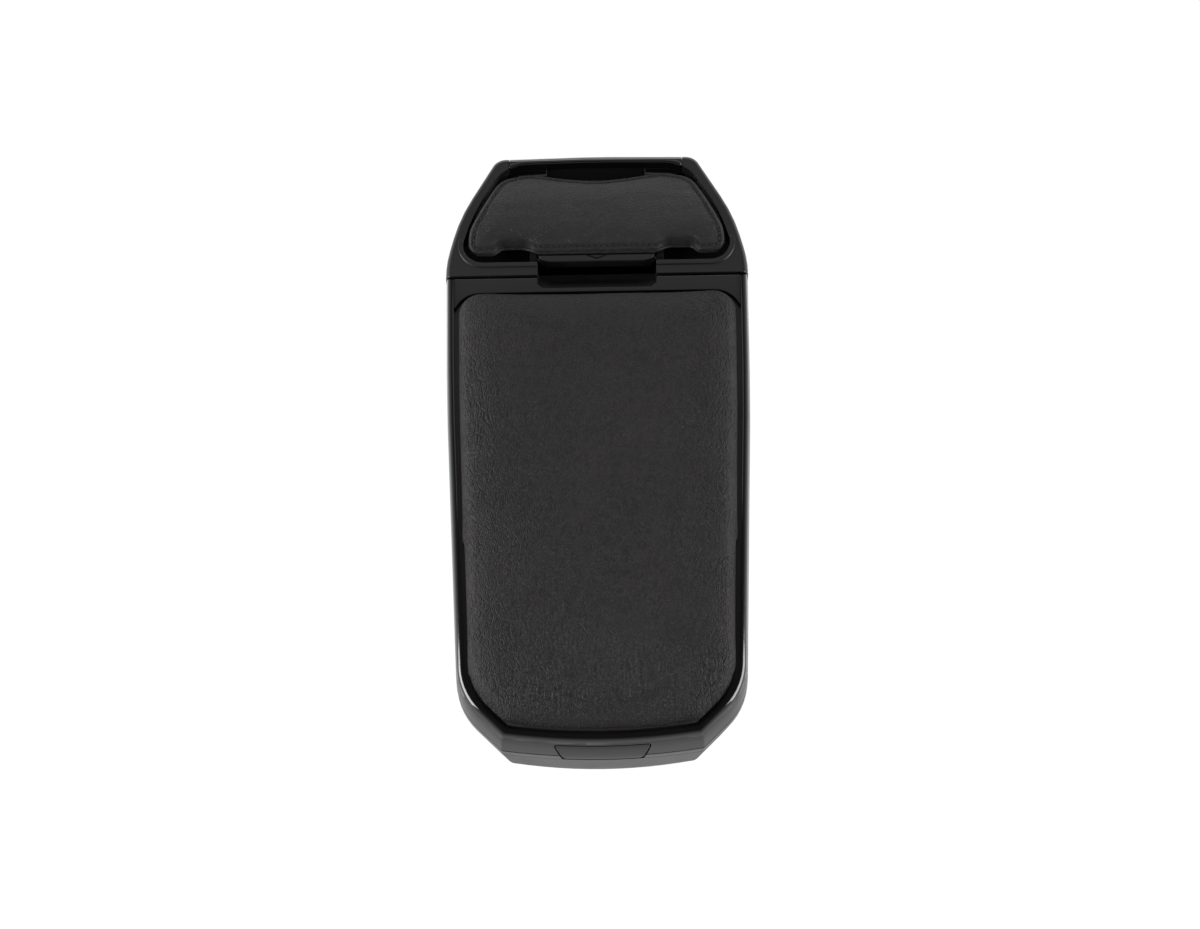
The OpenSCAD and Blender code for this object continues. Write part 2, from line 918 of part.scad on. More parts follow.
module pivot_bracket(side) {
    color(steel)
        lift()
            scale([side, 1, 1])
                difference() {
                    union() {
                        cross_rod(bracket_half_d, bracket_x, bracket_x + bracket_t, 0, pivot_h);
                        block([bracket_x, -bracket_half_d, seat_z],
                              [bracket_x + bracket_t, bracket_half_d, pivot_h]);
                        block([bracket_x, -bracket_half_d, seat_z],
                              [bracket_x + bracket_base_w, bracket_half_d, seat_z + bracket_base_t]);
                    }
                    cross_rod(shaft_r + flush, 0, far, 0, pivot_h);
                    at_bracket_screws()
                        cylinder(r = pilot_r, h = far);
                }
}

module pivot_shaft() {
    color(steel)
        lift()
            difference() {
                cross_rod(shaft_r, -shaft_half_l, shaft_half_l, 0, pivot_h);
                sides()
                    difference() {
                        cross_rod(shaft_r + over, clip_x, clip_x + clip_t, 0, pivot_h);
                        cross_rod(shaft_r - clip_groove, clip_x - over, clip_x + clip_t + over, 0, pivot_h);
                    }
            }
}

module shaft_clips() {
    color(steel)
        lift()
            sides()
                difference() {
                    cross_rod(shaft_r + clip_rim, clip_x + flush, clip_x + clip_t - flush, 0, pivot_h);
                    cross_rod(shaft_r - clip_groove + flush, 0, far, 0, pivot_h);
                    block([0, -clip_mouth, 0], [far, clip_mouth, pivot_h]);
                }
}

module thrust_washers() {
    color(bush_cream)
        lift()
            sides()
                difference() {
                    cross_rod(washer_r, washer_x, washer_x + washer_t, 0, pivot_h);
                    cross_rod(shaft_r + shaft_clear, 0, far, 0, pivot_h);
                }
}

// Plan of the leather pad, set in by the value given
module pad_plan(inset = 0) {
    edge = cheek_w + pad_gap;
    offset(delta = -inset)
        polygon(rounded(both_sides([
            for (point = pad_rear)
                [point[0] * (side_x(pad_lobe_y) - edge - pad_lobe_in), point[1], point[2]],
            [side_x(pad_side_y) - edge, pad_side_y, pad_side_r],
            [side_x(pad_corner_y) - edge - pad_corner_in, pad_corner_y, pad_corner_r],
            [pad_lobe_half_w, pad_corner_y, pad_lobe_r],
            [pad_hollow_half_w[1], pad_hollow_y, pad_hollow_r],
            [pad_hollow_half_w[0], pad_hollow_y, pad_hollow_r],
            [pad_front_half_w, pad_front_y, pad_front_r],
            [0, pad_front_y, 0],
        ])));
}

// Curved layer about an axis along X, between two radii
module saddle(outer, inner) {
    difference() {
        cross_rod(outer, -far, far, pad_crest_y, pad_centre_z);
        cross_rod(inner, -far - over, far + over, pad_crest_y, pad_centre_z);
        middle_block(2 * far, [-far, -far], [far, pad_centre_z]);
    }
}

module pad_carrier() {
    color(satin_black)
        lift()
            difference() {
                union() {
                    intersection() {
                        saddle(carrier_r - flush, carrier_r - carrier_t);
                        middle_block(carrier_half_w, [carrier_front_y, 0], [carrier_rear_y, far]);
                        linear_extrude(far)
                            pad_plan(carrier_in);
                    }
                    intersection() {
                        union() {
                            sides()
                                translate([carrier_leg_x, carrier_leg_y, seat_z])
                                    cylinder(r = carrier_leg_r, h = far);
                            middle_block(apron_half_w, [carrier_rear_y - carrier_web_t, apron_z],
                                         [carrier_rear_y, far]);
                        }
                        cross_rod(carrier_r - over, -far, far, pad_crest_y, pad_centre_z);
                    }
                    middle_block(apron_half_w, [carrier_rear_y - over, apron_z],
                                 [rear_y - bar_w + apron_reach, apron_z + apron_t]);
                }
                sides()
                    translate([carrier_leg_x, carrier_leg_y, 0])
                        cylinder(r = pilot_r, h = seat_z + 4 * screw_bite);
            }
}

module leather_pad() {
    color(soft_black)
        lift()
            intersection() {
                saddle(pad_curve_r, carrier_r);
                linear_extrude(far)
                    pad_plan();
            }
}

module hinge_pins() {
    half_l = hinge_pin_l / 2;
    color(steel)
        lift()
            sides()
                cross_rod(hinge_pin_r, hinge_ear_x - half_l, hinge_ear_x + half_l, hinge_y, hinge_z);
}

module release_pin() {
    color(steel)
        lift()
            cross_rod(release_pin_r, -release_ear_end, release_ear_end, release_y, release_z);
}

module release_spring() {
    color(steel)
        lift()
            torsion_coil(release_y, release_z, coil_half_l, release_coil_r, release_leg_turns);
}

module frame_screws() {
    color(steel)
        lift()
            translate([0, 0, counterbore_h]) {
                at_posts()
                    screw(shell_h - counterbore_h + screw_bite);
                at_bridge_posts()
                    screw(shell_h - counterbore_h + screw_bite);
            }
}

module bracket_screws() {
    color(steel)
        lift()
            at_bracket_screws()
                translate([0, 0, recess_h])
                    screw(seat_z - recess_h + bracket_base_t);
}

module carrier_screws() {
    color(steel)
        lift()
            sides()
                translate([carrier_leg_x, carrier_leg_y, recess_h])
                    screw(seat_z - recess_h + 3 * screw_bite);
}

module lid_buffers() {
    color(rubber_grey)
        lift()
            for (side = [-1, 1], y = [post_rows[0], post_rows[2]])
                translate([side * (side_x(y) - post_in), y, ledge_z - buffer_sink])
                    cylinder(r = buffer_r, h = panel_z - ledge_z + buffer_sink - buffer_gap);
}

// Everything that the lid may fill, seen from the side
module lid_side_profile() {
    cross_rod(knuckle_r, -far, far, hinge_y, hinge_z);
    middle_block(far, [-far, ledge_z + lid_gap], [hinge_y - lid_gap, far]);
}

// Recess at the rear of the lid, between the hinge ears
module lid_notch() {
    translate([0, 0, -far])
        linear_extrude(2 * far)
            polygon(rounded(both_sides([
                [0, far, 0],
                [recess_half_w, far, 0],
                [recess_half_w, notch_y + notch_chamfer, notch_corner_r],
                [recess_half_w - notch_chamfer, notch_y, notch_corner_r],
                [0, notch_y, 0],
            ])));
}

module lid_frame() {
    half_t = hinge_ear_t / 2 + ear_gap;
    ear_r = hinge_ear_r + ear_gap;
    pin_half_l = hinge_pin_l / 2;
    color(satin_black)
        lift()
            difference() {
                union() {
                    intersection() {
                        lofted([
                            [ledge_z + lid_gap, 0, 0, 0, 0],
                            [ledge_z + lid_h / 2, lid_middle_in, lid_middle_lean, 0, 0],
                            [rim_z - thin, lid_top_in, lid_wall_lean, 0, 0],
                        ]);
                        lid_side_profile();
                    }
                    intersection() {
                        translate([0, 0, rim_z - flush])
                            linear_extrude(top_z - rim_z + flush)
                                difference() {
                                    intersection() {
                                        plan(lid_top_in, lid_lean, 0, band_in);
                                        translate([-far, band_front_y])
                                            square(2 * far);
                                    }
                                    cushion_plan(-band_gap);
                                }
                        lid_side_profile();
                    }
                }
                difference() {
                    translate([0, 0, ledge_z])
                        linear_extrude(plate_z - ledge_z)
                            intersection() {
                                plan(lid_top_in, lid_lean, 0, lid_wall);
                                translate([-far, -far])
                                    square([2 * far, far + lid_rear_y]);
                            }
                    for (y = board_screw_rows, x = [-1, 1])
                        translate([x * board_screw_x, y, plate_z - boss_h])
                            cylinder(r = post_r, h = far);
                    for (y = panel_screw_rows, x = [-1, 1])
                        translate([x * panel_screw_x, y, panel_z + panel_t])
                            cylinder(r = post_r, h = far);
                    sides()
                        block([latch_ear_x, front_y, latch_z - latch_ear_t],
                              [latch_ear_x + latch_ear_t, latch_y + latch_ear_t, far]);
                }
                lid_notch();
                sides() {
                    cross_rod(ear_r, hinge_ear_x - half_t, hinge_ear_x + half_t, hinge_y, hinge_z);
                    block([hinge_ear_x - half_t, hinge_y - ear_r, 0],
                          [hinge_ear_x + half_t, far, hinge_z + ear_r]);
                    cross_rod(hinge_pin_r + flush, hinge_ear_x - pin_half_l - flush,
                              hinge_ear_x + pin_half_l + flush, hinge_y, hinge_z);
                    block([hinge_ear_x + pin_half_l + lid_wall, hinge_y - pocket_half_d, 0],
                          [side_x(hinge_y) - 2 * lid_wall, hinge_y + pocket_half_d, plate_z]);
                }
                for (y = board_screw_rows, x = [-1, 1])
                    translate([x * board_screw_x, y, 0])
                        cylinder(r = screw_r + screw_clear, h = far);
                for (y = panel_screw_rows, x = [-1, 1])
                    translate([x * panel_screw_x, y, 0])
                        cylinder(r = pilot_r, h = plate_z);
                latch_notch(button_gap);
                cross_rod(latch_pin_r + flush, -latch_pin_half_l, latch_pin_half_l, latch_y, latch_z);
            }
}

module rim_trim() {
    color(gloss_black)
        lift()
            intersection() {
                difference() {
                    lofted([
                        [rim_z, lid_top_in, lid_wall_lean, 0, 0],
                        for (step = rim_edge)
                            [rim_z + (rim_h - thin) * step[0], lid_top_in + step[1], lid_lean, 0, step[2]],
                    ]);
                    translate([0, 0, rim_z - over])
                        linear_extrude(far)
                            plan(lid_top_in, lid_lean, 0, rim_w);
                }
                lid_side_profile();
            }
}

// Plan of the cushion with its two rounded rear corners, set in by the value given
module cushion_plan(inset) {
    edge = side_x(cushion_y) - lid_top_in - cushion_in;
    offset(delta = -inset)
        intersection() {
            plan(lid_top_in, lid_lean, 0, cushion_in);
            polygon(rounded(both_sides([
                [0, cushion_y, 0],
                [edge + cushion_ease, cushion_y, cushion_corner - inset / 2],
                [edge + 10 * cushion_ease, -far, 0],
                [0, -far, 0],
            ])));
        }
}

module cushion_board() {
    color(soft_black)
        lift()
            translate([0, 0, rim_z])
                linear_extrude(board_t)
                    difference() {
                        cushion_plan(board_in);
                        for (y = board_screw_rows, x = [-1, 1])
                            translate([x * board_screw_x, y])
                                circle(r = pilot_r);
                    }
}

module cushion() {
    color(soft_black)
        lift()
            hull() {
                translate([0, 0, cushion_z])
                    linear_extrude(thin)
                        cushion_plan(cushion_tuck);
                for (i = [0 : cushion_steps])
                    let (
                        rise = sin(90 * i / cushion_steps),
                        inset = cushion_roll * pow(1 - cos(90 * i / cushion_steps), cushion_fullness),
                        dome_h = cushion_h - cushion_edge_h - thin
                    )
                    translate([0, 0, cushion_z + cushion_edge_h + dome_h * rise])
                        linear_extrude(thin)
                            cushion_plan(inset);
            }
}

module board_screws() {
    color(steel)
        lift()
            for (y = board_screw_rows, x = [-1, 1])
                translate([x * board_screw_x, y, plate_z - boss_h])
                    screw(rim_z - plate_z + boss_h + board_t);
}

module lid_panel() {
    color(satin_black)
        lift()
            translate([0, 0, panel_z])
                linear_extrude(panel_t)
                    difference() {
                        intersection() {
                            plan(lid_top_in, lid_lean, 0, panel_in);
                            translate([-far, panel_front_y])
                                square([2 * far, panel_rear_y - panel_front_y]);
                        }
                        for (y = panel_screw_rows, x = [-1, 1])
                            translate([x * panel_screw_x, y])
                                circle(r = screw_r + screw_clear);
                    }
}

module panel_screws() {
    color(steel)
        lift()
            for (y = panel_screw_rows, x = [-1, 1])
                translate([x * panel_screw_x, y, panel_z])
                    screw(panel_t + screw_bite);
}

module latch_pin() {
    color(steel)
        lift()
            cross_rod(latch_pin_r, -latch_pin_half_l, latch_pin_half_l, latch_y, latch_z);
}

module latch_spring() {
    color(steel)
        lift()
            torsion_coil(latch_y, latch_z, coil_half_l, latch_coil_r, latch_leg_turns);
}

module latch_button() {
    color(satin_black)
        lift()
            difference() {
                union() {
                    intersection() {
                        lofted([
                            [button_z - over, 0, 0, 0, 0],
                            [ledge_z + lid_gap, 0, 0, 0, 0],
                            [ledge_z + lid_h / 2, lid_middle_in, lid_middle_lean, 0, 0],
                            [rim_z, lid_top_in, lid_wall_lean, 0, 0],
                        ]);
                        latch_notch(0);
                        middle_block(far, [-far, 0], [button_back_y, far]);
                    }
                    cross_rod(barrel_r, -barrel_half_l, barrel_half_l, latch_y, latch_z);
                    middle_block(hook_half_w, [button_back_y - 1, hook_root_z], [hook_y, hook_top]);
                }
                cross_rod(latch_pin_r + pin_clear, -far, far, latch_y, latch_z);
                cross_rod(barrel_r + barrel_clear, -spring_half_l, spring_half_l, latch_y, latch_z);
            }
}

module latch_hook() {
    color(steel)
        lift() {
            middle_block(hook_half_w, [hook_y, hook_z], [hook_y + hook_t, hook_top]);
            middle_block(hook_half_w, [hook_y - nose_reach, hook_z], [hook_y + flush, hook_z + nose_h]);
        }
}

module release_lever() {
    color(satin_black)
        lift()
            difference() {
                union() {
                    translate([0, 0, tongue_foot_z])
                        linear_extrude(tongue_z - tongue_foot_z)
                            polygon(rounded(both_sides(concat(
                                [[0, tongue_root_y, 0]], tongue_side, [[0, -tongue_run, 0]]
                            ))));
                    middle_block(tongue_half_w, [tongue_root_y - over, tongue_foot_z],
                                 [tongue_back_y, tongue_step_z]);
                    middle_block(release_barrel_half_l, [tongue_root_y, release_z],
                                 [tongue_back_y, tongue_step_z]);
                    cross_rod(release_barrel_r, -release_barrel_half_l, release_barrel_half_l,
                              release_y, release_z);
                    middle_block(arm_half_w, [release_y, arm_z], [arm_end_y, arm_top]);
                }
                cross_rod(release_pin_r + pin_clear, -far, far, release_y, release_z);
                cross_rod(release_barrel_r + barrel_clear, -spring_half_l, spring_half_l,
                          release_y, release_z);
            }
}

module brake_shoe() {
    color(rubber_grey)
        lift()
            difference() {
                middle_block(shoe_half_w, [shoe_front_y, pivot_h], [shoe_rear_y, arm_z]);
                cross_rod(hub_r + shoe_gap, -far, far, 0, pivot_h);
            }
}

pivot_foot();
hub_bush(-1);  // hub_bush_left
hub_bush(1);  // hub_bush_right
lower_shell();
upper_frame();
rear_bridge();
bin_mat();
striker();
pivot_bracket(-1);  // pivot_bracket_left
pivot_bracket(1);  // pivot_bracket_right
pivot_shaft();
shaft_clips();
thrust_washers();
pad_carrier();
leather_pad();
hinge_pins();
release_pin();
release_spring();
frame_screws();
bracket_screws();
carrier_screws();
lid_buffers();
lid_frame();
rim_trim();
cushion_board();
cushion();
board_screws();
lid_panel();
panel_screws();
latch_pin();
latch_spring();
latch_button();
latch_hook();
release_lever();
brake_shoe();
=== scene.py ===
import json
import math

import bmesh
import bpy
from mathutils import Matrix, Vector, noise
from mathutils.bvhtree import BVHTree


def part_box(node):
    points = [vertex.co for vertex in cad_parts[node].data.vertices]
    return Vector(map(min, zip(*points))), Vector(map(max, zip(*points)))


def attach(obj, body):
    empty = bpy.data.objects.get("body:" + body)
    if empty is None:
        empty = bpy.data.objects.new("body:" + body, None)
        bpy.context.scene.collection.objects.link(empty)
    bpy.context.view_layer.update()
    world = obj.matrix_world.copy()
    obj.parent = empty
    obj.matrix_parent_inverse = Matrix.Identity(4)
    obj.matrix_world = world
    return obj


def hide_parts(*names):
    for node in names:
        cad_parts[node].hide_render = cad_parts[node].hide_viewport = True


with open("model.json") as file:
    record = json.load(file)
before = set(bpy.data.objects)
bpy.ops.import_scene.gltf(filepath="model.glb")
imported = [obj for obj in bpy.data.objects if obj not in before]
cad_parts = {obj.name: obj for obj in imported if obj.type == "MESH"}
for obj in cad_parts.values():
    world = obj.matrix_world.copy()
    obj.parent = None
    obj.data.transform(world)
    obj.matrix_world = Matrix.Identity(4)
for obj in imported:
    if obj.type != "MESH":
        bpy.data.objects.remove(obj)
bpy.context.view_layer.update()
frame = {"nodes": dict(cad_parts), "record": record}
scene = bpy.context.scene
scene.view_settings.view_transform = "Standard"
print("stage: frame loaded")

mm = 0.001
white = (1, 1, 1, 1)
mergeGap = 0.00001


# Small helpers for the work in the viewport

def pickOnly(piece):
    if bpy.context.mode != "OBJECT":
        bpy.ops.object.mode_set(mode="OBJECT")
    bpy.ops.object.select_all(action="DESELECT")
    piece.select_set(True)
    bpy.context.view_layer.objects.active = piece


def applyAll(piece):
    pickOnly(piece)
    for modifier in list(piece.modifiers):
        bpy.ops.object.modifier_apply(modifier=modifier.name)


def copyOfNode(node, name):  # a merged copy, since the frame's mesh is loose triangles
    piece = bpy.data.objects.new(name, frame["nodes"][node].data.copy())
    scene.collection.objects.link(piece)
    piece.data.materials.clear()
    pickOnly(piece)
    bpy.ops.object.mode_set(mode="EDIT")
    bpy.ops.mesh.select_all(action="SELECT")
    bpy.ops.mesh.customdata_custom_splitnormals_clear()
    bpy.ops.mesh.remove_doubles(threshold=mergeGap)
    bpy.ops.object.mode_set(mode="OBJECT")
    return piece


def smooth(piece, angle=35):
    pickOnly(piece)
    bpy.ops.object.shade_smooth_by_angle(angle=math.radians(angle))


def remeshed(piece, voxel):
    pickOnly(piece)
    piece.data.remesh_voxel_size = voxel
    piece.data.remesh_voxel_adaptivity = 0
    bpy.ops.object.voxel_remesh()


def roundOff(piece, levels):
    divide = piece.modifiers.new("divide", "SUBSURF")
    divide.levels = divide.render_levels = levels
    applyAll(piece)
    pickOnly(piece)
    bpy.ops.object.shade_smooth()


def normalsOf(piece):  # taken before any point moves, or each move would work them all out again
    return [point.normal.copy() for point in piece.data.vertices]


def bellCurve(distance, width):
    return math.exp(-(distance / width) ** 2)


def easeIn(value, low, high):
    share = min(1, max(0, (value - low) / (high - low)))
    return share * share * (3 - 2 * share)


# Materials

class Wire:  # an output of a shader node, so that shader maths reads as plain sums
    def __init__(self, paint, socket):
        self.paint = paint
        self.socket = socket

    def sum(self, operation, first, second):
        return self.paint.node("ShaderNodeMath", {"operation": operation}, {0: first, 1: second})

    def __add__(self, other):
        return self.sum("ADD", self, other)

    def __radd__(self, other):
        return self.sum("ADD", other, self)

    def __sub__(self, other):
        return self.sum("SUBTRACT", self, other)

    def __rsub__(self, other):
        return self.sum("SUBTRACT", other, self)

    def __mul__(self, other):
        return self.sum("MULTIPLY", self, other)

    def size(self):
        return self.sum("ABSOLUTE", self, 0)

    def most(self, other):
        return self.sum("MAXIMUM", self, other)

    def ease(self, low, high):
        return self.paint.node(
            "ShaderNodeMapRange", {"interpolation_type": "SMOOTHSTEP"},
            {"Value": self, "From Min": low, "From Max": high},
        )


class Paint:  # a material, or the world, with its nodes
    def __init__(self, owner):
        self.owner = owner
        owner.use_nodes = True
        self.tree = owner.node_tree
        self.tree.nodes.clear()

    def node(self, kind, settings=None, sockets=None, out=0):
        made = self.tree.nodes.new(kind)
        for key, value in (settings or {}).items():
            setattr(made, key, value)
        for key, value in (sockets or {}).items():
            if isinstance(value, Wire):
                self.tree.links.new(value.socket, made.inputs[key])
            else:
                made.inputs[key].default_value = value
        return Wire(self, made.outputs[out]) if made.outputs else None

    def place(self, scale=(1, 1, 1), turn=(0, 0, 0)):
        here = self.node("ShaderNodeTexCoord", out="Object")
        turned = [math.radians(angle) for angle in turn]
        return self.node("ShaderNodeMapping", {}, {"Vector": here, "Scale": scale, "Rotation": turned})

    def parts(self):
        split = self.node("ShaderNodeSeparateXYZ", {}, {"Vector": self.place()})
        return [Wire(self, socket) for socket in split.socket.node.outputs]

    def noise(self, grain, detail=2, rough=0.5, warp=0, at=None):
        return self.node(
            "ShaderNodeTexNoise", {},
            {"Vector": at or self.place(), "Scale": 1 / grain, "Detail": detail, "Roughness": rough,
             "Distortion": warp},
        )

    def cells(self, grain, at=None, feature="DISTANCE_TO_EDGE"):
        return self.node(
            "ShaderNodeTexVoronoi", {"feature": feature},
            {"Vector": at or self.place(), "Scale": 1 / grain},
        )

    def warped(self, grain, amount, scale=(1, 1, 1), turn=(0, 0, 0)):
        shift = self.node(
            "ShaderNodeTexNoise", {}, {"Vector": self.place(), "Scale": 1 / grain, "Detail": 2}, out="Color")
        centred = self.node("ShaderNodeVectorMath", {"operation": "SUBTRACT"}, {0: shift, 1: (0.5, 0.5, 0.5)})
        scaled = self.node("ShaderNodeVectorMath", {"operation": "SCALE"}, {0: centred, "Scale": amount})
        return self.node(
            "ShaderNodeVectorMath", {"operation": "ADD"}, {0: self.place(scale, turn), 1: scaled})

    def blend(self, share, first, second):
        return self.node(
            "ShaderNodeMix", {"data_type": "RGBA"}, {0: share, 6: first, 7: second}, out=2)

    def bump(self, height, depth, under=None):
        sockets = {"Height": height, "Distance": depth, "Strength": 1}
        if under:
            sockets["Normal"] = under
        return self.node("ShaderNodeBump", {}, sockets)

    def shade(self, **sockets):
        names = {key.replace("_", " ").title().replace("Ior", "IOR"): value for key, value in sockets.items()}
        return self.node("ShaderNodeBsdfPrincipled", {}, names)

    def finish(self, surface):
        self.node("ShaderNodeOutputMaterial", {}, {"Surface": surface})
        return self.owner


def newPaint(name):
    return Paint(bpy.data.materials.new(name))


plastics = {
    "frame_satin": {"dark": 0.0065, "pale": 0.0095, "rough": 0.33, "grain": 0.5 * mm, "depth": 0.012 * mm},
    "shell_satin": {"dark": 0.012, "pale": 0.016, "rough": 0.4, "grain": 0.7 * mm, "depth": 0.03 * mm},
    "lever_satin": {"dark": 0.010, "pale": 0.014, "rough": 0.36, "grain": 0.5 * mm, "depth": 0.012 * mm},
    "foot_grain": {"dark": 0.016, "pale": 0.022, "rough": 0.5, "grain": 0.9 * mm, "depth": 0.06 * mm},
    "button_satin": {"dark": 0.004, "pale": 0.006, "rough": 0.42, "grain": 0.5 * mm, "depth": 0.012 * mm,
                     "shine": 0.36},
    # near black and matt: the real colour of the tongue's arrow mark, and painted shade on the pad carrier
    "mark_and_shade_dark": {"dark": 0.0015, "pale": 0.0025, "rough": 0.75, "grain": 0.4 * mm, "depth": 0.01 * mm,
                  "shine": 0.15},
}
rubbing = {"size": 34 * mm, "share": (0.42, 0.7), "rough": 0.06, "grainRough": 0.08}
# painted shade inside the rear opening: where it is painted, and how black and rough
openingShade = {
    "high": (85 * mm, 87.5 * mm), "rear": (-25 * mm, -24 * mm), "side": (65 * mm, 67 * mm),
    "widensFrom": -5 * mm, "widensBy": 0.5, "black": (0.002, 0.002, 0.002, 1), "rough": 0.5,
}


def plastic(name):  # moulded plastic: fine spark-eroded grain, with soft rubbed and dusty places
    look = plastics[name]
    paint = newPaint(name)
    grain = paint.noise(look["grain"], detail=3, rough=0.6)
    rubbed = paint.noise(rubbing["size"], detail=4, rough=0.6, warp=0.4).ease(*rubbing["share"])
    colour = paint.blend(
        rubbed, (look["dark"], look["dark"], look["dark"] * 1.06, 1),
        (look["pale"], look["pale"], look["pale"] * 1.03, 1))
    rough = look["rough"] + rubbed * rubbing["rough"] + (grain - 0.5) * rubbing["grainRough"]
    if name == "frame_satin":  # painted shade: the inside of the rear opening is painted flat black and rougher, as the shade that falls in it
        place = openingShade
        x, y, z = paint.parts()
        insideShade = (1 - z.ease(*place["high"])) * y.ease(*place["rear"])
        outwards = x.size() + y.most(place["widensFrom"]) * place["widensBy"]
        insideShade = insideShade * (1 - outwards.ease(*place["side"]))
        colour = paint.blend(insideShade, colour, place["black"])
        rough = rough + insideShade * place["rough"]
    return paint.finish(paint.shade(
        base_color=colour, roughness=rough, specular_ior_level=look.get("shine", 0.5),
        normal=paint.bump(grain, look["depth"])))


def glossTrim():  # polished black lacquer, with faint waviness and hairline scuffs
    paint = newPaint("gloss_lacquer")
    waves = paint.noise(16 * mm, detail=1, rough=0.4)
    hairs = paint.noise(0.9 * mm, detail=2, rough=0.5, at=paint.place(scale=(1, 0.05, 1), turn=(0, 0, 24)))
    scuffs = hairs.ease(0.62, 0.78) * paint.noise(24 * mm, detail=2).ease(0.5, 0.75)
    colour = paint.blend(scuffs, (0.0035, 0.0035, 0.004, 1), (0.008, 0.008, 0.009, 1))
    return paint.finish(paint.shade(
        base_color=colour, roughness=0.09 + scuffs * 0.14, coat_weight=0.5, coat_roughness=0.04,
        normal=paint.bump(waves, 0.05 * mm)))


leathers = {
    "cushion_leatherette": {
        "dark": (0.0088, 0.0072, 0.0085, 1), "pale": (0.0158, 0.0131, 0.0152, 1), "rough": 0.47,
        "pebble": 1.25 * mm, "crease": 3.6 * mm, "lie": (1.5, 0.8, 1), "turn": 14,
        "pebbleDepth": 0.24 * mm, "creaseDepth": 0.5 * mm, "sheen": 0.03, "shine": 0.34,
    },
    "pad_leather": {
        "dark": (0.0105, 0.0092, 0.0103, 1), "pale": (0.0195, 0.0172, 0.019, 1), "rough": 0.42,
        "pebble": 0.9 * mm, "crease": 2.6 * mm, "lie": (0.55, 1.7, 1), "turn": 3,
        "pebbleDepth": 0.12 * mm, "creaseDepth": 0.26 * mm, "sheen": 0.05, "shine": 0.5,
    },
}


hide = {
    "pebbleShare": (0.02, 0.34), "creaseShare": (0.0, 0.16), "pullSize": 18 * mm, "pullShare": (0.3, 0.62),
    "poreSize": 0.35 * mm, "broadSize": 40 * mm, "seamShadeBlack": (0.0015, 0.0015, 0.0015, 1),
}


def leather(name, calm):  # pebbles cut by finer valleys, and creases where the hide is pulled
    look = leathers[name]
    paint = newPaint(name)
    lie = look["lie"]
    turn = (0, 0, look["turn"])
    pebbles = paint.cells(look["pebble"], paint.warped(2 * mm, 0.5 * mm, lie, turn))
    pebbles = pebbles.ease(*hide["pebbleShare"])
    creases = paint.cells(look["crease"], paint.warped(5 * mm, 2.6 * mm, lie, turn))
    creases = creases.ease(*hide["creaseShare"])
    pulled = calm(paint) * paint.noise(hide["pullSize"], detail=3, rough=0.6).ease(*hide["pullShare"])
    pores = paint.noise(hide["poreSize"], detail=2, rough=0.6)
    broad = paint.noise(hide["broadSize"], detail=3, rough=0.55)
    # painted shade: the valleys between the pebbles and the creases are painted darker
    valleyShade = (1 - pebbles) * 0.5 + (1 - creases) * pulled * 0.6
    paleness = (broad * 0.8 + pores * 0.25 - valleyShade * 0.35).ease(0.1, 0.75)
    colour = paint.blend(paleness, look["dark"], look["pale"])
    if name == "pad_leather":  # painted shade: the stitch channel and the curled-under hide are darkened towards black and made rougher
        seamAndCurlShade = paint.node("ShaderNodeAttribute", {"attribute_name": "seamShade"}, out=2)
        colour = paint.blend(seamAndCurlShade * 0.85, colour, hide["seamShadeBlack"])
    rough = look["rough"] + (1 - pebbles) * 0.14 + (broad - 0.5) * 0.08
    if name == "pad_leather":
        rough = rough + seamAndCurlShade * 0.35
    low = paint.bump(creases * pulled, look["creaseDepth"])
    fine = paint.bump(pebbles * 0.85 + pores * 0.15, look["pebbleDepth"], low)
    return paint.finish(paint.shade(
        base_color=colour, roughness=rough, normal=fine, specular_ior_level=look["shine"],
        sheen_weight=look["sheen"], sheen_roughness=0.4))


pulls = {
    "cushion": {"side": (24 * mm, 64 * mm), "front": (-258 * mm, -190 * mm), "least": 0.22, "more": 0.78},
    "pad": {"front": (-6 * mm, 20 * mm), "least": 0.35, "more": 0.4},
}


def cushionPull(paint):  # stronger towards the sides and the front, as in the photo
    look = pulls["cushion"]
    x, y, _ = paint.parts()
    beside = x.size().ease(*look["side"])
    ahead = 1 - y.ease(*look["front"])
    return look["least"] + beside.most(ahead) * look["more"]


def padPull(paint):
    look = pulls["pad"]
    _, y, _ = paint.parts()
    return look["least"] + (1 - y.ease(*look["front"])) * look["more"]


metals = {
    "zinc_steel": {"colour": (0.5, 0.5, 0.52, 1), "stain": (0.3, 0.29, 0.28, 1), "rough": 0.32},
    "black_zinc": {"colour": (0.09, 0.09, 0.095, 1), "stain": (0.05, 0.05, 0.055, 1), "rough": 0.38},
}


def metal(name):  # plated steel with a fine rolled grain and faint stains
    look = metals[name]
    paint = newPaint(name)
    rolled = paint.noise(0.5 * mm, detail=3, rough=0.6, at=paint.place(scale=(0.08, 1, 1)))
    stain = paint.noise(9 * mm, detail=4, rough=0.6).ease(0.45, 0.7)
    return paint.finish(paint.shade(
        base_color=paint.blend(stain, look["colour"], look["stain"]), metallic=1.0,
        roughness=look["rough"] + rolled * 0.14 + stain * 0.1, normal=paint.bump(rolled, 0.01 * mm)))


def rubber():
    paint = newPaint("mat_rubber")
    ribs = paint.cells(1.6 * mm, feature="F1").ease(0.15, 0.5)
    dust = paint.noise(20 * mm, detail=4, rough=0.6).ease(0.45, 0.75)
    return paint.finish(paint.shade(
        base_color=paint.blend(dust, (0.012, 0.012, 0.012, 1), (0.02, 0.02, 0.02, 1)),
        roughness=0.75 + dust * 0.1, normal=paint.bump(1 - ribs, 0.12 * mm)))


def acetal():
    paint = newPaint("cream_acetal")
    cloud = paint.noise(6 * mm, detail=3)
    return paint.finish(paint.shade(
        base_color=paint.blend(cloud, (0.55, 0.5, 0.38, 1), (0.66, 0.62, 0.5, 1)),
        roughness=0.36 + cloud * 0.1, subsurface_weight=0.05,
        normal=paint.bump(paint.noise(0.4 * mm), 0.01 * mm)))


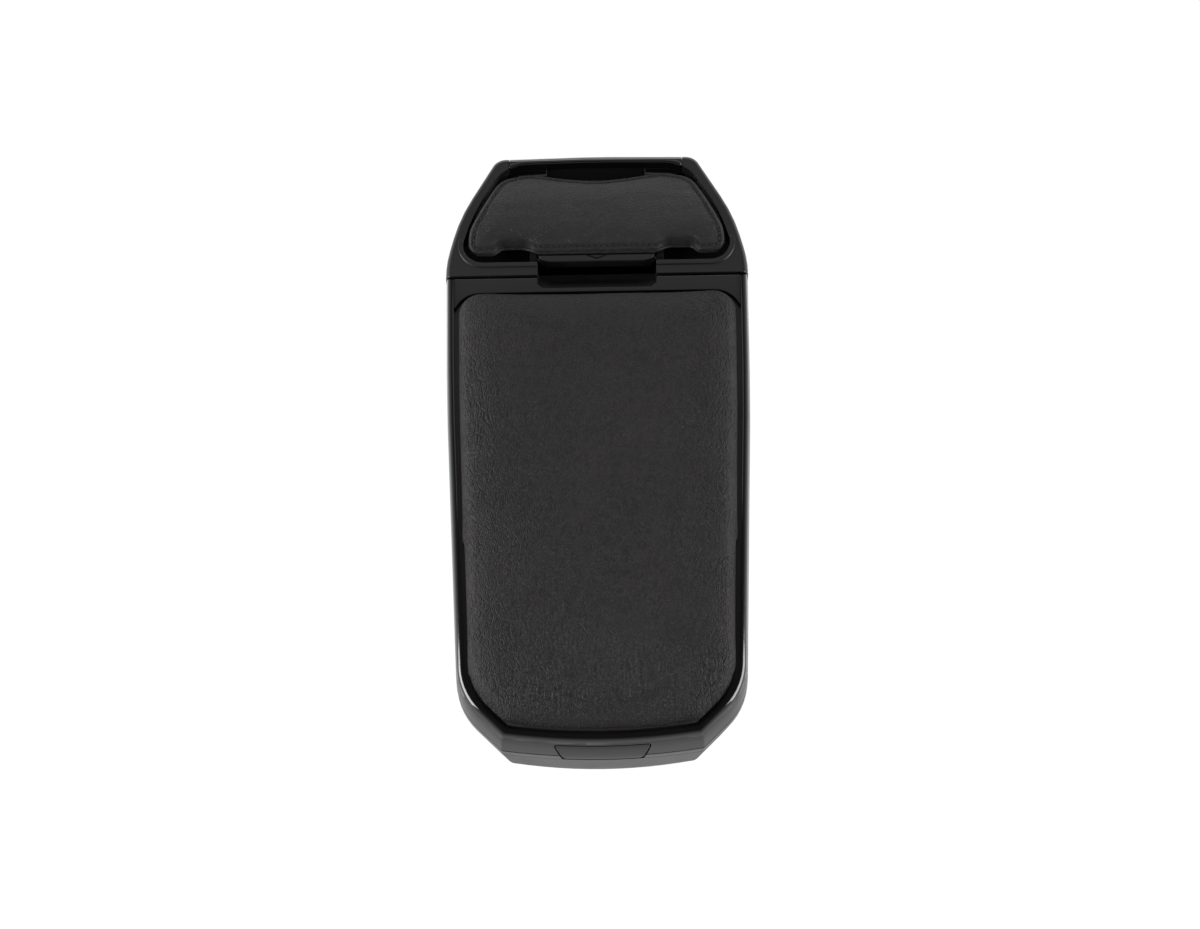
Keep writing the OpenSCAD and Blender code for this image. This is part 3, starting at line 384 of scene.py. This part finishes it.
def boardFibre():
    paint = newPaint("board_fibre")
    fibres = paint.noise(0.8 * mm, detail=4, rough=0.7, warp=1.2, at=paint.place(scale=(1, 0.25, 1)))
    return paint.finish(paint.shade(
        base_color=paint.blend(fibres, (0.03, 0.026, 0.022, 1), (0.06, 0.053, 0.046, 1)),
        roughness=0.8, normal=paint.bump(fibres, 0.08 * mm)))


def thread():
    paint = newPaint("black_thread")
    ply = paint.noise(0.25 * mm, detail=2, rough=0.5, at=paint.place(scale=(1, 1, 1), turn=(0, 0, 40)))
    return paint.finish(paint.shade(
        base_color=paint.blend(ply, (0.0015, 0.0015, 0.002, 1), (0.005, 0.0045, 0.0055, 1)),
        roughness=0.45 + ply * 0.2, normal=paint.bump(ply, 0.08 * mm)))


paints = {name: plastic(name) for name in plastics}
paints.update({name: metal(name) for name in metals})
paints["gloss_lacquer"] = glossTrim()
paints["cushion_leatherette"] = leather("cushion_leatherette", cushionPull)
paints["pad_leather"] = leather("pad_leather", padPull)
paints["mat_rubber"] = rubber()
paints["cream_acetal"] = acetal()
paints["board_fibre"] = boardFibre()
paints["black_thread"] = thread()

slotPaints = {
    "foot_plastic": "foot_grain", "bush_plastic": "cream_acetal", "shell_plastic": "shell_satin",
    "frame_plastic": "frame_satin", "gloss_trim": "gloss_lacquer", "mat_rubber": "mat_rubber",
    "steel": "zinc_steel", "screw_steel": "black_zinc", "pad_leather": "pad_leather",
    "cushion_leatherette": "cushion_leatherette", "board_fibre": "board_fibre",
    "lever_plastic": "lever_satin",
}


def dress(piece, paint):
    piece.data.materials.clear()
    piece.data.materials.append(paints[paint])
    for face in piece.data.polygons:
        face.material_index = 0


for part in frame["record"]["subparts"]:
    dress(frame["nodes"][part["node"]], slotPaints[part["material_slot"]])
# painted shade: the pad carrier is dressed near black and matt, so the hollow under the pad reads as shade
dress(frame["nodes"]["pad_carrier"], "mark_and_shade_dark")
print("stage: materials")


# The moulded pieces that show, with their corners eased as a mould leaves them

easedPieces = {
    "upper_frame": {
        "name": "rear_frame", "width": 0.35 * mm, "corner": 32, "inner": 1.3 * mm, "seamX": 44.15 * mm,
        "innerFrom": -9.5 * mm,
    },
    "rear_bridge": {
        "name": "bridge_bar", "width": 0.35 * mm, "corner": 32, "inner": 1.4 * mm, "seamX": 44 * mm,
        "innerFrom": 20 * mm,
    },
    "lid_frame": {"name": "lid_body", "width": 0.3 * mm, "corner": 32},
    "rim_trim": {"name": "lid_rim", "width": 0, "corner": 40},
    "latch_button": {"name": "finger_button", "width": 0.3 * mm, "corner": 32, "paint": "button_satin"},
    "release_lever": {"name": "release_tongue", "width": 0.4 * mm, "corner": 32},
}
moulding = {"flat": 0.6, "segments": 2, "weight": 60}
innerEdge = {"sharp": 60, "levelGap": 0.05 * mm, "seamGap": 0.3 * mm, "segments": 5, "profile": 0.5}
slotOf = {part["node"]: part["material_slot"] for part in frame["record"]["subparts"]}
bodyOf = {node: body for body, nodes in frame["record"]["behaviour"]["bodies"].items() for node in nodes}


def dissolveFlats(piece):
    pickOnly(piece)
    bpy.ops.object.mode_set(mode="EDIT")
    bpy.ops.mesh.select_all(action="SELECT")
    bpy.ops.mesh.dissolve_limited(angle_limit=math.radians(moulding["flat"]))
    bpy.ops.object.mode_set(mode="OBJECT")


def bevelled(piece, width, corner):
    pickOnly(piece)
    bpy.ops.object.shade_smooth()
    bevel = piece.modifiers.new("round", "BEVEL")
    bevel.width = width
    bevel.segments = moulding["segments"]
    bevel.limit_method = "ANGLE"
    bevel.angle_limit = math.radians(corner)
    bevel.use_clamp_overlap = False
    even = piece.modifiers.new("even", "WEIGHTED_NORMAL")
    even.weight = moulding["weight"]
    applyAll(piece)


def roundInnerEdge(piece, look):  # the edge round the opening is far rounder than the mould's other corners
    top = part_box("rear_bridge")[1].z
    mesh = bmesh.new()
    mesh.from_mesh(piece.data)
    mesh.normal_update()
    chosen = []
    for edge in mesh.edges:
        if len(edge.link_faces) != 2 or edge.calc_face_angle(0) < math.radians(innerEdge["sharp"]):
            continue
        ends = [corner.co for corner in edge.verts]
        level = all(abs(end.z - top) < innerEdge["levelGap"] for end in ends)
        seam = all(abs(abs(end.x) - look["seamX"]) < innerEdge["seamGap"] for end in ends)
        if level and not seam and min(end.y for end in ends) > look["innerFrom"]:
            chosen.append(edge)
    bmesh.ops.bevel(
        mesh, geom=chosen, offset=look["inner"], offset_type="OFFSET", segments=innerEdge["segments"],
        profile=innerEdge["profile"], affect="EDGES", clamp_overlap=True)
    mesh.to_mesh(piece.data)
    mesh.free()
    print("rounded edges:", piece.name, len(chosen))


def easedCopy(node):
    look = easedPieces[node]
    piece = copyOfNode(node, look["name"])
    if look["width"]:
        dissolveFlats(piece)
        if "inner" in look:
            roundInnerEdge(piece, look)
        bevelled(piece, look["width"], look["corner"])
    else:  # the rim is rounded in the CAD, and only its shading is evened
        smooth(piece, look["corner"])
    dress(piece, look.get("paint", slotPaints[slotOf[node]]))
    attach(piece, bodyOf[node])
    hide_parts(node)


for node in easedPieces:
    easedCopy(node)
print("stage: moulded pieces")


# The cushion on the lid: swollen as cloth, then pulled into its creases

armCushion = {
    "voxel": 4 * mm, "shrink": 0.995, "pressure": 14, "frames": 24, "swell": 2.4 * mm,
    "lowSwell": 0.3 * mm, "footRise": (0.5 * mm, 5 * mm), "divide": 2, "floorGap": 0.05 * mm,
    "puckers": 0.26 * mm, "puckersFrom": 3 * mm, "puckersSide": (30 * mm, 66 * mm),
    "puckersFront": (0.19, 0.262), "foldGrain": (210, 90, 160), "waveGrain": (34, 26), "wave": 0.3 * mm,
}
clothQuality = 6


def swell(piece, look, roomAt):  # the piece is inflated as cloth, and each point keeps within its room
    rest = [point.co.copy() for point in piece.data.vertices]
    cloth = piece.modifiers.new("swell", "CLOTH")
    cloth.settings.use_pressure = True
    cloth.settings.uniform_pressure_force = look["pressure"]
    cloth.settings.effector_weights.gravity = 0
    cloth.settings.quality = clothQuality
    for step in range(1, look["frames"] + 1):
        scene.frame_set(step)
    evaluated = piece.evaluated_get(bpy.context.evaluated_depsgraph_get())
    moved = [point.co.copy() for point in evaluated.data.vertices]
    piece.modifiers.remove(cloth)
    scene.frame_set(1)
    for point, start, end in zip(piece.data.vertices, rest, moved):
        step = end - start
        room = roomAt(start)
        if step.length > room:
            step *= room / step.length
        point.co = start + step


def makeCushion():
    look = armCushion
    low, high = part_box("cushion")
    middle = (low + high) / 2
    middle.z = low.z
    piece = copyOfNode("cushion", "arm_cushion")
    for point in piece.data.vertices:
        point.co = middle + (point.co - middle) * look["shrink"]
    remeshed(piece, look["voxel"])
    first, full = look["footRise"]
    swell(piece, look, lambda start: look["lowSwell"] + (look["swell"] - look["lowSwell"]) * easeIn(
        start.z, low.z + first, low.z + full))
    for point in piece.data.vertices:
        point.co.z = max(point.co.z, low.z + look["floorGap"])
    roundOff(piece, look["divide"])
    for point, out in zip(piece.data.vertices, normalsOf(piece)):
        place = point.co
        if place.z < low.z + look["puckersFrom"]:
            continue
        beside = max(easeIn(abs(place.x), *look["puckersSide"]), easeIn(-place.y, *look["puckersFront"]))
        fold = noise.noise(Vector([part * grain for part, grain in zip(place, look["foldGrain"])]))
        wide = noise.noise(Vector((place.x * look["waveGrain"][0], place.y * look["waveGrain"][1], 3)))
        point.co += out * (look["puckers"] * beside * (1 - abs(fold) * 2) * 0.5 + look["wave"] * wide)
    dress(piece, "cushion_leatherette")
    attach(piece, "lid")
    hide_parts("cushion")


makeCushion()
print("stage: cushion")


# The stitched pad behind the lid

stitchedPad = {
    "voxel": 1.5 * mm, "pressure": 3, "frames": 16, "swell": 0.7 * mm, "divide": 1,
    "seamIn": 2.4 * mm, "seamWide": 0.7 * mm, "seamDeep": 0.55 * mm, "plump": 0.5 * mm,
    "plumpWide": 9 * mm, "outlinePitch": 2 * mm, "topTilt": 0.25, "wave": 0.16 * mm, "waveGrain": (60, 240),
    "waveIn": (3 * mm, 8 * mm), "shadeWide": 0.9 * mm, "curlShade": (0.1 * mm, 1.6 * mm),
    "curlX": (31 * mm, 37 * mm, 46 * mm, 52 * mm), "curlFrom": -7 * mm, "curlTo": -12.6 * mm,
    "curl": 3.2 * mm, "curlPower": 1.5,
}
stitch = {
    "pitch": 3.0 * mm, "length": 1.9 * mm, "radius": 0.42 * mm, "lift": 0.08 * mm, "sides": 8,
    "bends": (0, 0.3, -0.3), "dip": 0.5 * mm, "thick": 1.15, "taper": 0.35, "castFrom": 20 * mm,
    "leastTilt": 0.3, "mostCurl": 0.8 * mm,
}
foldedEdge = {"in": 0.35 * mm, "down": 2.0 * mm, "radius": 0.75 * mm, "resolution": 3}


def outlineOf(node):  # the pad's edge seen from above, walked round once
    mesh = bmesh.new()
    mesh.from_mesh(frame["nodes"][node].data)
    bmesh.ops.remove_doubles(mesh, verts=mesh.verts, dist=mergeGap)
    mesh.normal_update()
    bmesh.ops.delete(mesh, geom=[face for face in mesh.faces if face.normal.z < 0.3], context="FACES")
    edges = [edge for edge in mesh.edges if edge.is_boundary]
    start = edges[0].verts[0]
    walked, here, last = [start.co.copy()], edges[0].verts[1], edges[0]
    while here is not start:
        walked.append(here.co.copy())
        last = next(edge for edge in here.link_edges if edge.is_boundary and edge is not last)
        here = last.other_vert(here)
    mesh.free()
    return walked


def spaced(points, pitch):  # the same closed line, with its points one pitch apart
    loop = points + points[:1]
    total = sum((loop[i + 1] - loop[i]).length for i in range(len(points)))
    count = round(total / pitch)
    gap, walked, out = total / count, 0, []
    for i in range(len(points)):
        side = loop[i + 1] - loop[i]
        while len(out) * gap < walked + side.length and len(out) < count:
            out.append(loop[i] + side * ((len(out) * gap - walked) / side.length))
        walked += side.length
    return out


def insetLine(points, depth):  # moved inwards in plan
    area = sum(points[i - 1].x * points[i].y - points[i].x * points[i - 1].y for i in range(len(points)))
    turn = 1 if area > 0 else -1
    inner = []
    for i, point in enumerate(points):
        along = points[(i + 1) % len(points)] - points[i - 1]
        along.z = 0
        along.normalize()
        inner.append(point + Vector((-along.y, along.x, 0)) * depth * turn)
    return inner


def edgeDistance(place, points):
    best = 1
    for i in range(len(points)):
        first, second = points[i - 1].xy, points[i].xy
        side = second - first
        share = max(0, min(1, (place.xy - first).dot(side) / side.dot(side)))
        best = min(best, (place.xy - first - side * share).length)
    return best


def curlOf(place):  # how far the pad bends down between its front lobes and the tongue
    look = stitchedPad
    start, full, last, end = look["curlX"]
    across = easeIn(abs(place.x), start, full) * (1 - easeIn(abs(place.x), last, end))
    return look["curl"] * across * easeIn(-place.y, -look["curlFrom"], -look["curlTo"]) ** look["curlPower"]


def makePad():
    look = stitchedPad
    piece = copyOfNode("leather_pad", "rear_pad")
    remeshed(piece, look["voxel"])
    swell(piece, look, lambda start: look["swell"])
    roundOff(piece, look["divide"])
    edge = spaced(outlineOf("leather_pad"), look["outlinePitch"])
    seamShade = [0] * len(piece.data.vertices)
    for point, out in zip(piece.data.vertices, normalsOf(piece)):
        if out.z < look["topTilt"]:
            continue
        depth = edgeDistance(point.co, edge)
        drop = look["seamDeep"] * bellCurve(depth - look["seamIn"], look["seamWide"])
        rise = look["plump"] * easeIn(depth, look["seamIn"], look["seamIn"] + look["plumpWide"])
        across, along = look["waveGrain"]
        wave = look["wave"] * noise.noise(Vector((point.co.x * across, point.co.y * along, 1)))
        point.co.z += rise - drop + wave * easeIn(depth, *look["waveIn"])
        seamShade[point.index] = bellCurve(depth - look["seamIn"], look["shadeWide"])
    for point in piece.data.vertices:
        down = curlOf(point.co)
        seamShade[point.index] = max(seamShade[point.index], easeIn(down, *look["curlShade"]))
        point.co.z -= down
    shade = piece.data.attributes.new("seamShade", "FLOAT", "POINT")
    shade.data.foreach_set("value", seamShade)
    dress(piece, "pad_leather")
    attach(piece, "armrest")
    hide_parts("leather_pad")
    return piece, edge


def oneStitch():  # a short thread that dips into its holes at both ends
    bpy.ops.object.select_all(action="DESELECT")
    bpy.ops.mesh.primitive_cylinder_add(
        vertices=stitch["sides"], radius=stitch["radius"], depth=stitch["length"],
        rotation=(0, math.pi / 2, 0))
    made = bpy.context.object
    bpy.ops.object.transform_apply(location=True, rotation=True, scale=True)
    bpy.ops.object.mode_set(mode="EDIT")
    for share in stitch["bends"]:
        bpy.ops.mesh.select_all(action="SELECT")
        bpy.ops.mesh.bisect(plane_co=(stitch["length"] * share, 0, 0), plane_no=(1, 0, 0))
    bpy.ops.object.mode_set(mode="OBJECT")
    half = stitch["length"] / 2
    for point in made.data.vertices:
        share = abs(point.co.x) / half
        point.co.z -= stitch["dip"] * share ** 3
        point.co.y *= stitch["thick"] - stitch["taper"] * share
    return made


def makeStitches(pad, edge):
    line = spaced(insetLine(edge, stitchedPad["seamIn"]), stitch["pitch"])
    surface = BVHTree.FromPolygons(
        [point.co for point in pad.data.vertices], [face.vertices[:] for face in pad.data.polygons])
    model = oneStitch()
    copies = []
    for i, point in enumerate(line):
        hit, normal, _, _ = surface.ray_cast(point + Vector((0, 0, stitch["castFrom"])), Vector((0, 0, -1)))
        if hit is None or normal.z < stitch["leastTilt"] or curlOf(point) > stitch["mostCurl"]:
            continue
        along = line[(i + 1) % len(line)] - line[i - 1]
        along = (along - normal * along.dot(normal)).normalized()
        across = normal.cross(along)
        copy = model.copy()
        copy.data = model.data.copy()
        scene.collection.objects.link(copy)
        turned = Matrix((along, across, normal)).transposed().to_4x4()
        copy.data.transform(Matrix.Translation(hit + normal * stitch["lift"]) @ turned)
        copies.append(copy)
    bpy.data.objects.remove(model)
    pickOnly(copies[0])
    for copy in copies:
        copy.select_set(True)
    bpy.ops.object.join()
    piece = bpy.context.object
    piece.name = "pad_stitches"
    piece.location = (0, 0, 0)
    bpy.ops.object.shade_smooth()
    dress(piece, "black_thread")
    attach(piece, "armrest")
    print("stitches:", len(copies))


def makeFold(edge):  # the hide is turned under, and the turned layer shows as a roll below the edge
    look = foldedEdge
    line = bpy.data.curves.new("pad_fold", "CURVE")
    line.dimensions = "3D"
    line.bevel_depth = look["radius"]
    line.bevel_resolution = look["resolution"]
    walk = insetLine(edge, look["in"])
    spline = line.splines.new("POLY")
    spline.points.add(len(walk) - 1)
    for point, place in zip(spline.points, walk):
        point.co = (place.x, place.y, place.z - look["down"] - curlOf(place), 1)
    spline.use_cyclic_u = True
    piece = bpy.data.objects.new("pad_fold", line)
    scene.collection.objects.link(piece)
    pickOnly(piece)
    bpy.ops.object.convert(target="MESH")
    piece = bpy.context.object
    bpy.ops.object.shade_smooth()
    dress(piece, "pad_leather")
    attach(piece, "armrest")


padPiece, padEdge = makePad()
makeStitches(padPiece, padEdge)
makeFold(padEdge)
print("stage: stitched pad")


# Arrow mark on the release tongue

arrowMark = {
    "halfWide": 5 * mm, "drop": 2.0 * mm, "bar": 0.7 * mm, "high": 0.25 * mm, "rear": -17.4 * mm,
    "bevel": 0.08 * mm, "segments": 2,
}


def makeArrow():
    look = arrowMark
    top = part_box("release_lever")[1].z
    bpy.ops.object.select_all(action="DESELECT")
    bpy.ops.mesh.primitive_cube_add(size=1, location=(0, look["rear"], top))
    piece = bpy.context.object
    piece.name = "tongue_arrow"
    piece.scale = (look["halfWide"] * 2, look["bar"], look["high"] * 2)
    bpy.ops.object.transform_apply(location=True, rotation=True, scale=True)
    bpy.ops.object.mode_set(mode="EDIT")
    bpy.ops.mesh.select_all(action="SELECT")
    bpy.ops.mesh.bisect(plane_co=(0, 0, 0), plane_no=(1, 0, 0))
    bpy.ops.object.mode_set(mode="OBJECT")
    for point in piece.data.vertices:
        point.co.y -= look["drop"] * (1 - abs(point.co.x) / look["halfWide"])
    bevel = piece.modifiers.new("round", "BEVEL")
    bevel.width = look["bevel"]
    bevel.segments = look["segments"]
    applyAll(piece)
    smooth(piece)
    dress(piece, "mark_and_shade_dark")
    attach(piece, "release")


makeArrow()
print("stage: tongue arrow")


# Floor, lamps and camera

studio = {
    "sky": 0.06, "horizon": 0.68, "skyFull": 0.9, "backdrop": 1.0,
    "floorSize": 16, "paper": (0.9, 0.9, 0.9, 1), "glow": 1.04, "glowShare": 0.94,
    "lamps": [
        # place, size across and up, power, aimed at
        ((0.0, 0.62, 1.2), (1.2, 0.6), 1.25, (0, -0.05, 0.08)),
        ((0.0, 1.2, 0.45), (1.3, 0.5), 3.5, (0, -0.05, 0.08)),
        ((-1.0, -0.28, 0.4), (0.7, 0.62), 12.0, (0, -0.16, 0.08)),
        ((1.0, -0.28, 0.4), (0.7, 0.62), 9.5, (0, -0.16, 0.08)),
    ],
}


def makeFloor():
    bpy.ops.object.select_all(action="DESELECT")
    bpy.ops.mesh.primitive_plane_add(size=studio["floorSize"])
    floor = bpy.context.object
    floor.name = "floor"
    paint = newPaint("white_paper")
    rays = paint.node("ShaderNodeLightPath")
    seen = Wire(paint, rays.socket.node.outputs["Is Camera Ray"])
    for other in ("Is Glossy Ray", "Is Transmission Ray"):
        seen = seen.most(Wire(paint, rays.socket.node.outputs[other]))
    plain = paint.node("ShaderNodeBsdfDiffuse", {}, {"Color": studio["paper"]})
    glow = paint.node("ShaderNodeEmission", {}, {"Color": white, "Strength": studio["glow"]})
    share = seen * studio["glowShare"]
    paint.finish(paint.node("ShaderNodeMixShader", {}, {0: share, 1: plain, 2: glow}))
    floor.data.materials.append(paint.owner)


def makeWorld():
    world = bpy.data.worlds.new("studio")
    scene.world = world
    paint = Paint(world)
    way = paint.node("ShaderNodeTexCoord", out="Generated")
    up = Wire(paint, paint.node("ShaderNodeSeparateXYZ", {}, {"Vector": way}).socket.node.outputs[2])
    level = studio["horizon"] + up.ease(0.0, studio["skyFull"]) * (studio["sky"] - studio["horizon"])
    rays = paint.node("ShaderNodeLightPath")
    seen = Wire(paint, rays.socket.node.outputs["Is Camera Ray"])
    light = paint.node("ShaderNodeBackground", {}, {"Color": white, "Strength": level})
    backdrop = paint.node("ShaderNodeBackground", {}, {"Color": white, "Strength": studio["backdrop"]})
    mixed = paint.node("ShaderNodeMixShader", {}, {0: seen, 1: light, 2: backdrop})
    paint.node("ShaderNodeOutputWorld", {}, {"Surface": mixed})


def makeLamps():
    for number, (place, size, power, aim) in enumerate(studio["lamps"]):
        data = bpy.data.lights.new(f"softbox_{number}", "AREA")
        data.shape = "RECTANGLE"
        data.size, data.size_y = size
        data.energy = power
        lamp = bpy.data.objects.new(data.name, data)
        scene.collection.objects.link(lamp)
        lamp.location = place
        lamp.rotation_euler = (Vector(aim) - Vector(place)).to_track_quat("-Z", "Y").to_euler()


photoView = {
    "target": (0.235 * mm, -126.1 * mm, 75 * mm), "elevation": 67, "azimuth": 1.425, "roll": -2.245,
    "lens": 85, "sensor": 36, "near": 0.01, "distance": 1.396,
}


def makeCamera():
    up, around, roll = (math.radians(photoView[key]) for key in ("elevation", "azimuth", "roll"))
    back = Vector((math.sin(around) * math.cos(up), -math.cos(around) * math.cos(up), math.sin(up)))
    right = (-back).cross(Vector((0, 0, 1))).normalized()
    top = right.cross(-back)
    turned = right * math.cos(roll) + top * math.sin(roll)
    raised = top * math.cos(roll) - right * math.sin(roll)
    data = bpy.data.cameras.new("camera")
    data.lens = photoView["lens"]
    data.sensor_width = photoView["sensor"]
    data.sensor_fit = "HORIZONTAL"
    data.clip_start = photoView["near"]
    camera = bpy.data.objects.new("camera", data)
    scene.collection.objects.link(camera)
    place = Vector(photoView["target"]) + back * photoView["distance"]
    camera.matrix_world = Matrix.Translation(place) @ Matrix((turned, raised, back)).transposed().to_4x4()
    scene.camera = camera


makeFloor()
makeWorld()
makeLamps()
makeCamera()
print("stage: studio")
